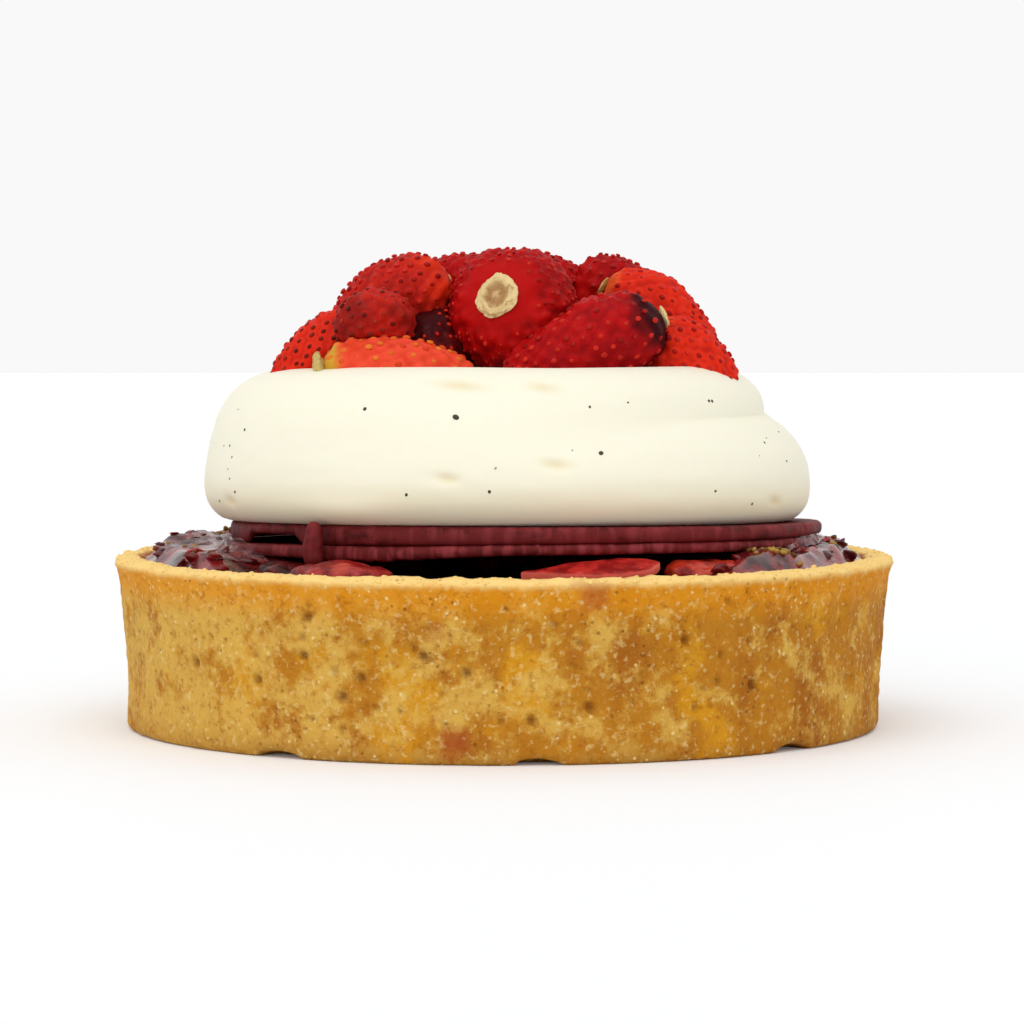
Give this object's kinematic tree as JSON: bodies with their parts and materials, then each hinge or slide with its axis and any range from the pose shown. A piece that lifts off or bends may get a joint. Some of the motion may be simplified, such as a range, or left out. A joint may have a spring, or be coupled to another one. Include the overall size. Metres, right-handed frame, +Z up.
{
  "type": "strawberry tart",
  "caption": "Round single-portion tart: a straight-sided golden shortcrust case of strawberry compote, with thin fruit discs, a piped ring of vanilla cream and a heap of small strawberries.",
  "frame": {"origin": "centre of the case's underside, on the surface that the tart stands on", "axes": "+Z up, -Y the front, where the strand of cream ends over the turn below it on the right"},
  "size_m": [0.093, 0.093, 0.057],
  "materials": {
    "crust": "golden brown baked shortcrust, mottled, with pits and fine crumb, paler at the rim",
    "compote": "dark red wet strawberry compote",
    "fruit": "wet stewed strawberry pieces, red to orange red",
    "fruit_disc": "dull dusky pink fruit paste with a cut edge",
    "cream": "smooth ivory vanilla cream with a few dark specks",
    "berry": "small strawberries, bright to dark red, one orange, with raised seeds"
  },
  "bodies": {
    "root": {"crust": "crust", "compote": "compote", "disc_lower": "fruit_disc", "disc_upper": "fruit_disc", "disc_drip": "fruit_disc", "cream": "cream", "fruit_front_left": "fruit", "fruit_under_left": "fruit", "fruit_far_left": "fruit", "fruit_under_right": "fruit", "fruit_far_right": "fruit", "fruit_back_right": "fruit", "fruit_back": "fruit", "fruit_back_left": "fruit", "fruit_slice": "fruit", "berry_front_top": "berry", "berry_front_right": "berry", "berry_front": "berry", "berry_left_front": "berry", "berry_left": "berry", "berry_left_top": "berry", "berry_right_top": "berry", "berry_right": "berry", "berry_top_left": "berry", "berry_top": "berry", "berry_top_right": "berry", "berry_dark": "berry", "berry_back_left_top": "berry", "berry_back_top": "berry", "berry_back_right_top": "berry", "berry_back_left": "berry", "berry_back": "berry", "berry_back_right": "berry", "berry_far_right": "berry", "berry_inner_left": "berry", "berry_inner_right": "berry", "berry_heart": "berry"}
  },
  "joints": []
}
